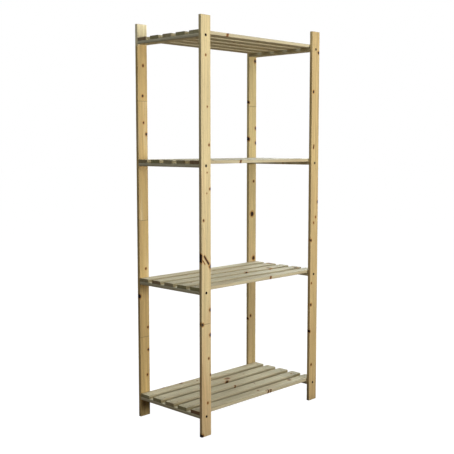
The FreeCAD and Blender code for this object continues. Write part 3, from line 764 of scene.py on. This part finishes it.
# Post screws
# Countersunk cross-recess wood screws, 4 by 50 mm, driven flush into the posts. They are hardened steel
# with a black phosphate coat, which is dull, a little patchy, and rubbed brighter here and there.
PHOSPHATE = "0B0A0A"
RUBBED_STEEL = "2A2826"
CRYSTAL = 0.4 * MM
RUB = 1.5 * MM
coat = new_material("black_phosphated_steel")
tree = coat.node_tree
place = add(tree, "ShaderNodeTexCoord", {})["Object"]
crystals = add(tree, "ShaderNodeTexNoise", {"Vector": place, "Scale": 1 / CRYSTAL, "Detail": 3})[0]
rubs = add(tree, "ShaderNodeTexNoise", {"Vector": place, "Scale": 1 / RUB, "Detail": 2})[0]
rub_and_shade = add(tree, "ShaderNodeMapRange", {"Value": rubs, "From Min": 0.6, "From Max": 0.75, "To Max": 0.4},
             interpolation_type="SMOOTHSTEP")[0]
colour = add(tree, "ShaderNodeMix", {0: rub_and_shade, 6: linear(PHOSPHATE), 7: linear(RUBBED_STEEL)},
             data_type="RGBA")[2]
dull = add(tree, "ShaderNodeMapRange", {"Value": crystals, "From Min": 0.3, "From Max": 0.7, "To Min": 0.6,
                                        "To Max": 0.8})[0]
relief = add(tree, "ShaderNodeBump", {"Strength": 0.3, "Distance": 0.05 * MM, "Height": crystals})[0]
surface = add(tree, "ShaderNodeBsdfPrincipled", {"Base Color": colour, "Roughness": dull,
                                                 "Specular IOR Level": 0.12, "Normal": relief})[0]
add(tree, "ShaderNodeOutputMaterial", {"Surface": surface})
for shelf in SHELVES:
    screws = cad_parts[shelf + "_shelf_post_screws"]
    for slot in screws.material_slots:
        slot.material = coat

# Slat nails
# Round wire nails, 2 by 25 mm, with a flat head that the hammer drives just under the slat's face. Drawn
# steel is grey and fairly bright, and the heads have gone dull and a little brown in the damp wood.
DRAWN_STEEL = "77736C"
BROWNED = "4A3524"
RUST_SPOT = 2 * MM
wire = new_material("drawn_steel_wire")
tree = wire.node_tree
place = add(tree, "ShaderNodeTexCoord", {})["Object"]
stains = add(tree, "ShaderNodeTexNoise", {"Vector": place, "Scale": 1 / RUST_SPOT, "Detail": 3})[0]
stained = add(tree, "ShaderNodeMapRange", {"Value": stains, "From Min": 0.4, "From Max": 0.6},
              interpolation_type="SMOOTHSTEP")[0]
colour = add(tree, "ShaderNodeMix", {0: stained, 6: linear(DRAWN_STEEL), 7: linear(BROWNED)},
             data_type="RGBA")[2]
dull = add(tree, "ShaderNodeMapRange", {"Value": stains, "From Min": 0.3, "From Max": 0.7, "To Min": 0.35,
                                        "To Max": 0.6})[0]
relief = add(tree, "ShaderNodeBump", {"Strength": 0.3, "Distance": 0.05 * MM, "Height": stains})[0]
surface = add(tree, "ShaderNodeBsdfPrincipled", {"Base Color": colour, "Metallic": 0.85, "Roughness": dull,
                                                 "Normal": relief})[0]
add(tree, "ShaderNodeOutputMaterial", {"Surface": surface})
for shelf in SHELVES:
    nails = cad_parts[shelf + "_shelf_slat_nails"]
    for slot in nails.material_slots:
        slot.material = wire

# Floor and light
# An opal table top that glows just enough to stay white. On it, unseen by the camera, lie a brown card
# that throws warm light back up and, under the unit, a dark sheet that is a painted shadow: it stands for
# the unit's own shadow on the card. Soft boxes stand in front, behind and, a little cooler, on the right
# and high on the left; two far spots light the top more than the feet.
OPAL = "FFFFFF"
TABLE_FACE = "5A5A5A"
BOUNCE_BROWN = "8C7B6C"
SHADOW_SHEET_DARK = "1A1714"
FLOOR_REACH = (60, 60, 1)
SHADOW_SHEET_REACH = (0.78, 0.44, 1)
FLOORS = (
    ("opal_table", 1 * MM, FLOOR_REACH, TABLE_FACE, 1),
    ("bounce_card", 0.4 * MM, FLOOR_REACH, BOUNCE_BROWN, 0),
    # A painted shadow: a dark sheet where the unit's own shadow darkens the card.
    ("painted_floor_shadow", 0.2 * MM, SHADOW_SHEET_REACH, SHADOW_SHEET_DARK, 0),
)
for name, drop, reach, colour, glow in FLOORS:
    bpy.ops.object.select_all(action="DESELECT")
    bpy.ops.mesh.primitive_plane_add(size=1, location=(0, 0, -drop))
    bpy.ops.transform.resize(value=reach)
    bpy.ops.object.transform_apply(location=False, rotation=False, scale=True)
    floor = bpy.context.object
    floor.name = name
    floor.visible_camera = glow > 0
    floor.visible_shadow = glow > 0
    floor.visible_diffuse = glow == 0
    floor.visible_glossy = glow == 0
    paint = new_material(name)
    tree = paint.node_tree
    surface = add(tree, "ShaderNodeBsdfPrincipled", {"Base Color": linear(colour), "Roughness": 0.9,
                                                     "Specular IOR Level": 0, "Emission Color": linear(OPAL),
                                                     "Emission Strength": glow})[0]
    add(tree, "ShaderNodeOutputMaterial", {"Surface": surface})
    floor.data.materials.append(paint)

LAMP = "FFFDF8"
SKY = "E9F5FF"
LIT_MIDDLE = Vector((0, 0, 0.85))
LIT_TOP = Vector((0, 0, 1.7))
SPOT_CONE = math.radians(44)
SPOT_LENS = 0.6
BOX = 1.5
SMALL_BOX = 0.8
NO_BOX = 0
ROOM_GLOW = 0.02

# Each light's name, place, aim, box size (none for a spot), power in watts and colour.
LIGHTS = (
    ("front_left_box", (-1.1, -2.8, 3.0), LIT_MIDDLE, BOX, 25, LAMP),
    ("front_right_box", (1.15, -2.8, 3.0), LIT_MIDDLE, BOX, 22, LAMP),
    ("low_box", (0.3, -4.5, 1.1), LIT_MIDDLE, SMALL_BOX, 56, LAMP),
    ("far_right_spot", (2.4, -5.6, 1.25), LIT_TOP, NO_BOX, 282, LAMP),
    ("right_spot", (1.3, -6.0, 1.25), LIT_TOP, NO_BOX, 265, LAMP),
    ("right_box", (1.7, 0.5, 2.5), LIT_MIDDLE, BOX, 58, SKY),
    ("back_box", (0.6, 4.2, 2.4), LIT_MIDDLE, BOX, 60, LAMP),
    ("left_box", (-2.0, 0.2, 4.8), LIT_MIDDLE, BOX, 52, SKY),
)
for name, stand, aim, size, power, colour in LIGHTS:
    bpy.ops.object.light_add(type="AREA" if size else "SPOT", location=stand)
    light = bpy.context.object
    light.name = name
    light.rotation_euler = (aim - Vector(stand)).to_track_quat("-Z", "Y").to_euler()
    light.data.energy = power
    light.data.color = linear(colour)[:3]
    if size:
        light.data.size = size
    else:
        light.data.shadow_soft_size = SPOT_LENS
        light.data.spot_size = SPOT_CONE
        light.data.spot_blend = 1

world = bpy.data.worlds.new("studio")
bpy.context.scene.world = world
world.use_nodes = True
tree = world.node_tree
tree.nodes.clear()
room = add(tree, "ShaderNodeBackground", {"Color": linear(LAMP), "Strength": ROOM_GLOW})[0]
backdrop = add(tree, "ShaderNodeBackground", {"Color": linear(OPAL), "Strength": 1})[0]
seen = add(tree, "ShaderNodeLightPath", {})["Is Camera Ray"]
shown = add(tree, "ShaderNodeMixShader", {0: seen, 1: room, 2: backdrop})[0]
add(tree, "ShaderNodeOutputWorld", {"Surface": shown})
bpy.context.scene.view_settings.view_transform = "Standard"
